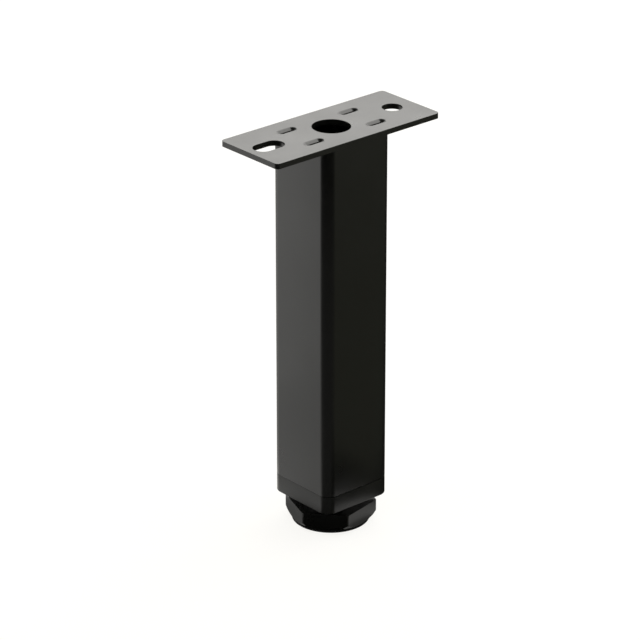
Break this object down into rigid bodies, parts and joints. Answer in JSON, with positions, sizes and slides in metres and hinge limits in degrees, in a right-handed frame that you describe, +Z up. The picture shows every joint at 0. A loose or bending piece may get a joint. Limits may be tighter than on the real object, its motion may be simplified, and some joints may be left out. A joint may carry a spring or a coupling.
{
  "type": "adjustable furniture foot",
  "caption": "Square steel furniture leg with a slotted screw plate on top and a screwed hexagon foot under its end cap, for levelling.",
  "frame": {"origin": "middle of the foot's base, on the floor, with the foot unscrewed 2.5 mm as in the picture", "axes": "+Z up along the leg and the spindle, X along the mounting plate's long side, the round screw hole on +X and the slotted one on -X"},
  "size_m": [0.075, 0.0316, 0.1515],
  "materials": {
    "powder_coat": "satin black powder coat with a fine grain",
    "cap_plastic": "moulded black plastic, fine matt texture",
    "foot_plastic": "moulded black plastic, smooth satin",
    "zinc_steel": "zinc plated",
    "pad_rubber": "matt black rubber"
  },
  "bodies": {
    "leg": {"mounting_plate": "powder_coat", "square_tube": "powder_coat", "end_cap": "cap_plastic", "spindle_nut": "zinc_steel"},
    "pad": {"glide_pad": "pad_rubber"},
    "foot": {"hex_foot": "foot_plastic", "spindle": "zinc_steel"}
  },
  "joints": [
    {"name": "height_adjust", "type": "slide", "parent": "leg", "child": "pad", "axis": [0, 0, -1], "range_m": [-0.00245, 0.015]},
    {"name": "foot_turn", "type": "hinge", "parent": "pad", "child": "foot", "pos_m": [0, 0, 0.0075], "axis": [0, 0, -1], "range_deg": [-590, 3602]}
  ],
  "couplings": [
    {"joint": "foot_turn", "follows": "height_adjust", "rad_per_m": 4188.8}
  ]
}
